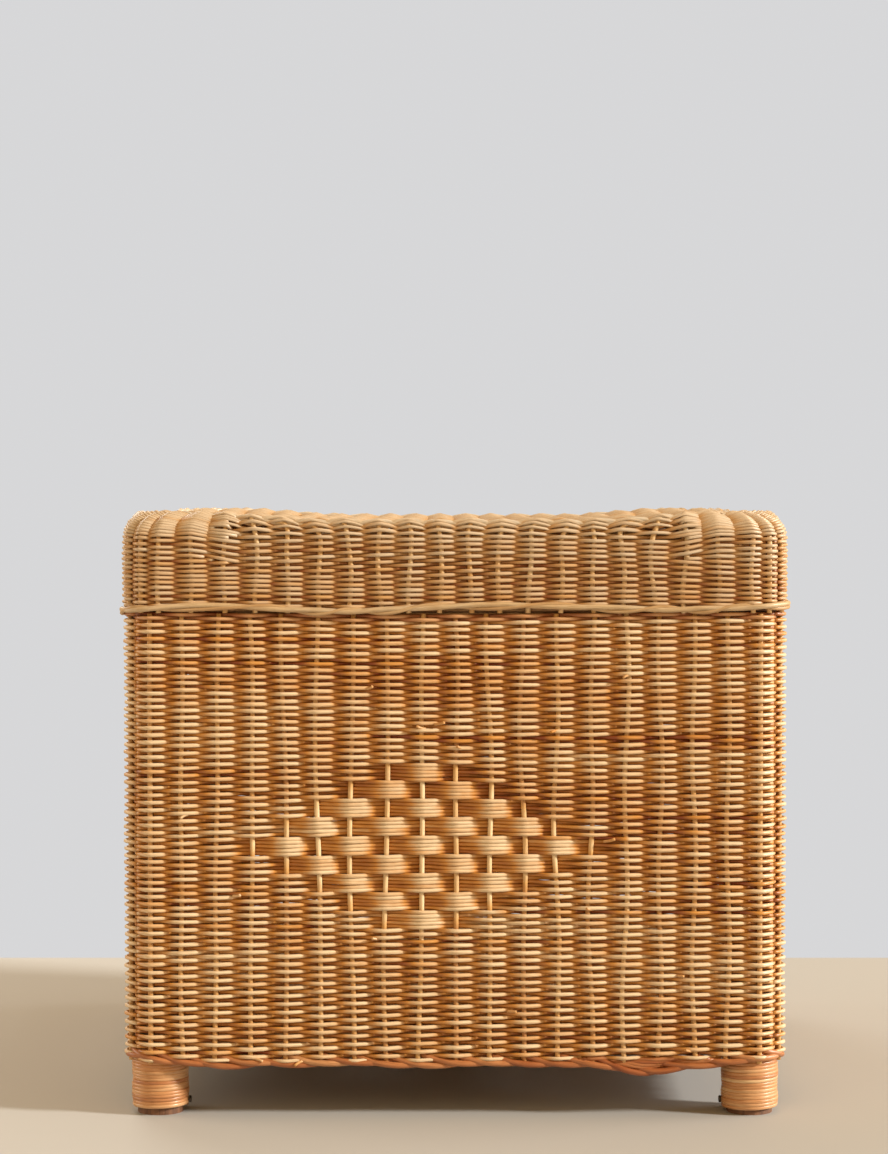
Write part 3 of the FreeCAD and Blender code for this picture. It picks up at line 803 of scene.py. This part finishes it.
def lid_row(side, strands, v, parity, tone, rng, limits=None, thick=None, lift=1.0, swings=1.0):
    """One row at v. limits keeps it to a part of the side, lift is its share of the climb at the
    corners, and swings is how far it goes in and out, with 1 for a full weave."""
    at = lid_knots(side, v)
    first = SIDES.index(side) * len(at)
    signs = np.array([1 if (parity + i + first) % 2 == 0 else -1 for i in range(len(at))])
    knots = np.concatenate([[-2 * LID_REACH - at[0]], at, [2 * LID_REACH - at[-1]]])
    signs = np.concatenate([[-signs[0]], signs, [-signs[-1]]])
    u = SHARES
    t = np.concatenate([knots[i] + (knots[i + 1] - knots[i]) * u for i in range(len(knots) - 1)])
    off = np.concatenate([swing(signs[i], signs[i + 1], u) for i in range(len(knots) - 1)])
    low, high = limits or (-LID_REACH, LID_REACH)
    inside = (t > low + 1e-5) & (t < high - 1e-5)
    edge = [0, 0] if limits is None else [-0.9, -0.9]
    t = np.concatenate([[low], t[inside], [high]])
    off = np.concatenate([[edge[0]], off[inside], [edge[1]]])
    share = side_share(side, t, LID_REACH)
    climb = lift * lifted(t / LID_REACH, v) if v > WEDGE_FOOT else 0
    points, normals = lid_surface(t, v + climb + 0.035 * lid_sag(share, v / 2))
    wide, tall = thick or (LID_STRAND, LID_STRAND_UP)
    depth = (STAKE_RADIUS + min(wide, LID_STRAND) * 0.97) * swings
    out = off * depth + 0.18 * MM * strand_lift(share, v)
    line = points + normals * out[:, None]
    change = 1 + 0.06 * rng.normal()
    # Painted shade where the strand dives behind stakes, and painted light on the flank leaving each
    # stake
    tone = tone + painted_shade(off, LID_PAINTED_LIGHT_SHIFT) * swings
    strands.add(turn_side(line, side), turn_side(normals, side), wide * change, tall * change, tone)


def weave_lid_side(side, stakes):
    strands = Strands(f"woven_lid_{side}")
    rng = np.random.default_rng(300 + SIDES.index(side))
    rows = [(v, None) for v in np.linspace(0.0, 1.0, WALL_ROWS, endpoint=False)]
    curve = np.linspace(1.0, CURVE_END, CURVE_ROWS)
    step = curve[1] - curve[0]
    for v in curve:
        rows.append((v, None))
        # The way up is longer at the corners, so short rows are packed in there.
        for part in (1 / 3, 2 / 3):
            first = rng.uniform(0.62, 0.76)
            rows.append((v + part * step, (-LID_REACH, -first * LID_REACH)))
            rows.append((v + part * step, (first * LID_REACH, LID_REACH)))
    parity = 0
    wedged = False
    for v, limits in rows:
        # Rows are painted paler higher up: painted light where the lid rounds over, painted shade at
        # its foot
        tone = rng.normal(LID_TONE, LID_TONE_SPREAD) + 0.30 * smooth_step(v, 0.3, 1.4)
        if limits is None:
            parity += 1
        if v > WEDGE_FOOT and not wedged:
            wedged = True
            for k in range(WEDGE_ROWS):
                first = (0.68 + 0.03 * k) * LID_REACH
                for ends in ((-LID_REACH, -first), (first, LID_REACH)):
                    wedge_tone = rng.normal(WEDGE_TONE, LID_TONE_SPREAD)
                    lid_row(side, strands, v, parity + k, wedge_tone, rng, ends, lift=k / WEDGE_ROWS)
        within = 1 if limits and (v - 1) / step % 1 < 0.5 else 0
        lid_row(side, strands, v, parity + within, tone, rng, limits)
    strands.build(lid_reed, "lid", "lid_reed", f"lid_weave_{side}")
    v = np.linspace(-0.10, 2.05, 22)
    for i, place in enumerate(LID_STAKES):
        t = np.array([lid_knots(side, each)[i] for each in v])
        points, normals = lid_surface(t, v)
        points[:, 2] += np.where(v < 0, v * (SHOULDER - rod_high.z), 0)
        stakes.add(turn_side(points, side), turn_side(normals, side), CANE, CANE, rng.normal(0.6, 0.1))


lid_stake_canes = Strands("lid_stake_canes", sides=7)
for side in SIDES:
    weave_lid_side(side, lid_stake_canes)
lid_stake_canes.build(stake_reed, "lid", "stake_reed", "lid_stakes")


# ---------------------------------------------------------------- the lid's top
def crest_reach(y):
    """Half the top's width at a distance y from its middle."""
    y = np.abs(y)
    radius = CREST_LINE - CREST_POST
    inner = np.clip(y - CREST_POST, 0, radius)
    return CREST_POST + np.sqrt(np.clip(radius ** 2 - inner ** 2, 0, None))


def top_height(x, y):
    """The top is all but level, and rises over the four corner posts."""
    sag = -1.3 * MM * np.exp(-(np.asarray(x) ** 2 + np.asarray(y) ** 2) / 0.13 ** 2)
    return CREST - 0.4 * MM + corner_rise(x, y) + sag


def top_reach(y):
    """Half the woven top's width at a distance y from its middle, just inside the crest."""
    return float(crest_reach(y)) - 1.0 * MM


top_rng = np.random.default_rng(401)
TOP_PITCH = 2.2 * MM
TOP_STRAND = 1.22 * MM
TOP_TONE = 0.74
top_rows = np.arange(-CREST_LINE + 3 * MM, CREST_LINE - 2.5 * MM, TOP_PITCH)
top_columns = LID_STAKES[1:-1]
halves = {"front": top_rows[top_rows < 0], "back": top_rows[top_rows >= 0]}
for half, rows in halves.items():
    top = Strands(f"woven_top_{half}")
    flat_mat(top, rows, top_columns, top_reach, top_height, TOP_STRAND,
             STAKE_RADIUS, TOP_TONE, top_rng, steps=5)
    if half == "front":
        mat_stakes(top, top_columns, top_reach, top_height, STAKE_RADIUS, 0.62, top_rng)
    top.build(lid_reed, "lid", "lid_reed", "lid_top_weave")


# ---------------------------------------------------------------- rods of the lid
WALE_ROWS = (1.86, 2.0)          # where they lie on the lid's surface
WALE_THICK = (1.7 * MM, 1.8 * MM)

wale = Strands("crest_wale", sides=8)
wale_rng = np.random.default_rng(503)
for side in SIDES:
    for k, v in enumerate(WALE_ROWS):
        tone = wale_rng.normal(0.86, 0.06)
        lid_row(side, wale, v, k, tone, wale_rng, thick=WALE_THICK, swings=0.6)
wale.build(lid_cane, "lid", "lid_cane", "lid_top_wale")

# Two rods round the lid's lower edge, the thinner one winding loosely about the thicker. They
# leave room for the two hinges.
edge = Strands("lid_edge_cane", sides=10)
rod_line = (rod_high.x - rod_low.x) / 2 - 2.2 * MM
rod_reach = LID_POST + (rod_line - LID_POST) * math.pi / 4
rod_wave = wobble(97, along=17, up=1)
hinge_low, hinge_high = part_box("hinge_body_leaf_left")
gap_outer, gap_inner = -hinge_low.x + 1.5 * MM, -hinge_high.x - 1.5 * MM
back_middle = 4 * rod_reach
spans = [
    (back_middle + gap_outer, back_middle + 8 * rod_reach - gap_outer),
    (back_middle - gap_inner, back_middle + gap_inner),
]
for first, last in spans:
    t = np.linspace(first, last, int((last - first) / (2.5 * MM)))
    points, outs = round_line(t, rod_line, LID_POST)
    share = t / (8 * rod_reach)
    level = (rod_low.z + rod_high.z) / 2 + 1.1 * MM + 1.7 * MM * rod_wave(share, 0.0)
    twist = 2 * np.pi * t / (3.4 * LID_PITCH) + 1.5 * rod_wave(share, 0.3)
    for radius, angle, size, tone in ((1.8 * MM, 0.0, 0.25, 0.52), (1.35 * MM, np.pi, 1.0, 0.26)):
        line = points + outs * ((0.9 * MM * size * np.cos(twist + angle)) - 0.5 * MM * size)[:, None]
        line[:, 2] = level + size * (1.9 * MM * np.sin(twist + angle) - 0.6 * MM)
        edge.add(line, outs, radius, radius, tone + 0.10 * rod_wave(share, 0.5))
edge.build(lid_cane, "lid", "lid_cane", "lid_edge_rod")


# ---------------------------------------------------------------- loose ends
END_RADIUS = 0.95 * MM


def loose_ends(side, places, rng, strands):
    """Short ends of strands that stick out of the wall."""
    for t, height in places:
        x, y, nx, ny = (float(value) for value in side_line(t, BODY_LINE, BODY_POST))
        length = rng.uniform(3.5, 7.5) * MM
        sign = rng.choice([-1, 1])
        u = np.linspace(0, 1, 7)
        out = (2.0 + rng.uniform(2.0, 3.6) * u) * MM
        along = sign * length * u
        rise = rng.uniform(-2.5, 2.5) * MM * u ** 2
        tangent_x, tangent_y = -ny, nx
        line_x = x + tangent_x * along + nx * out
        line_y = y + tangent_y * along + ny * out
        line = np.stack([line_x, line_y, height + rise], axis=1)
        normal = np.array([[nx, ny, 0.0]] * len(u))
        tone = rng.normal(0.68, 0.08)
        strands.add(turn_side(line, side), turn_side(normal, side), END_RADIUS, END_RADIUS, tone)


ends = Strands("loose_ends", sides=7)
# Where they stick out of the front, as place and height in mm.
FRONT_ENDS = [
    (-14, 266), (-20, 263), (100, 187), (93, 141), (-103, 38), (-137, 40), (70, 262), (-52, 121),
    (150, 96), (-180, 205), (-60, 290), (35, 72), (185, 240), (-150, 150), (120, 300), (-95, 87),
    (5, 250), (160, 45),
]
ends_rng = np.random.default_rng(601)
loose_ends("front", [(x * MM, z * MM) for x, z in FRONT_ENDS], ends_rng, ends)
for side in SIDES[1:]:
    places = [(ends_rng.uniform(-0.19, 0.19), ends_rng.uniform(0.06, 0.32)) for _ in range(12)]
    loose_ends(side, places, ends_rng, ends)
ends.build(body_reed, "trunk_body", "body_reed")


# ---------------------------------------------------------------- floor, light and camera
def light(name, place, target, size, power, colour):
    data = bpy.data.lights.new(name, "AREA")
    data.shape = "DISK"
    data.size = size
    data.energy = power
    data.color = colour
    lamp = bpy.data.objects.new(name, data)
    bpy.context.scene.collection.objects.link(lamp)
    lamp.location = place
    lamp.rotation_mode = "QUATERNION"
    lamp.rotation_quaternion = (Vector(target) - Vector(place)).to_track_quat("-Z", "Y")
    return lamp


sun = bpy.data.lights.new("key", "SUN")
sun.energy = 4.5
sun.angle = math.radians(8)
sun.color = (1.0, 0.94, 0.85)
key = bpy.data.objects.new("key", sun)
bpy.context.scene.collection.objects.link(key)
key.rotation_mode = "QUATERNION"
key.rotation_quaternion = Vector((-2.66, 0.78, -1.25)).to_track_quat("-Z", "Y")
light("fill", (-1.4, -2.6, 1.2), (0, 0, 0.2), 2.0, 10, (1.0, 0.80, 0.55))
light("window", (3.9, 0.65, 1.2), (0, 0, 0.2), 2.1, 72, (1.0, 0.97, 0.92))
light("left", (-2.5, 0.35, 0.9), (0, 0, 0.2), 1.5, 20, (1.0, 0.93, 0.82))
light("back", (-1.2, 2.2, 1.9), (0, 0, 0.2), 1.6, 26, (1.0, 0.95, 0.88))

# The sky gives a warm light, and the camera sees a plain grey in its place.
world = bpy.data.worlds.new("studio")
bpy.context.scene.world = world
world.use_nodes = True
sky = world.node_tree.nodes["Background"]
sky.inputs["Color"].default_value = (0.62, 0.395, 0.17, 1)
wall = world.node_tree.nodes.new("ShaderNodeBackground")
wall.inputs["Color"].default_value = (0.68, 0.68, 0.69, 1)
seen = world.node_tree.nodes.new("ShaderNodeLightPath")
either = world.node_tree.nodes.new("ShaderNodeMixShader")
world.node_tree.links.new(seen.outputs["Is Camera Ray"], either.inputs[0])
world.node_tree.links.new(sky.outputs[0], either.inputs[1])
world.node_tree.links.new(wall.outputs[0], either.inputs[2])
world.node_tree.links.new(either.outputs[0], world.node_tree.nodes["World Output"].inputs["Surface"])

ground_material, _, ground_shader = start_material("ground")
ground_shader.inputs["Base Color"].default_value = (0.45, 0.46, 0.46, 1)
ground_shader.inputs["Roughness"].default_value = 0.7
ground_mesh = bpy.data.meshes.new("ground")
GROUND_REACH = 4
GROUND_BACK = 0.45               # it ends a little way behind the trunk
ground_corners = [
    (-GROUND_REACH, -GROUND_REACH, 0), (GROUND_REACH, -GROUND_REACH, 0),
    (GROUND_REACH, GROUND_BACK, 0), (-GROUND_REACH, GROUND_BACK, 0),
]
ground_mesh.from_pydata(ground_corners, [], [(0, 1, 2, 3)])
ground_mesh.materials.append(ground_material)
ground = bpy.data.objects.new("ground", ground_mesh)
bpy.context.scene.collection.objects.link(ground)

CAMERA_PLACE = (-0.0075, -2.161, 0.42)
CAMERA_DOWN = math.radians(1.62)
CAMERA_SENSOR = 36.0             # in mm, as is the lens
CAMERA_LENS = 90.0
camera_data = bpy.data.cameras.new("camera")
camera_data.sensor_width = CAMERA_SENSOR
camera_data.lens = CAMERA_LENS
camera = bpy.data.objects.new("camera", camera_data)
bpy.context.scene.collection.objects.link(camera)
camera.location = CAMERA_PLACE
camera.rotation_euler = (math.pi / 2 - CAMERA_DOWN, 0, 0)
bpy.context.scene.camera = camera
bpy.context.scene.view_settings.view_transform = "Standard"
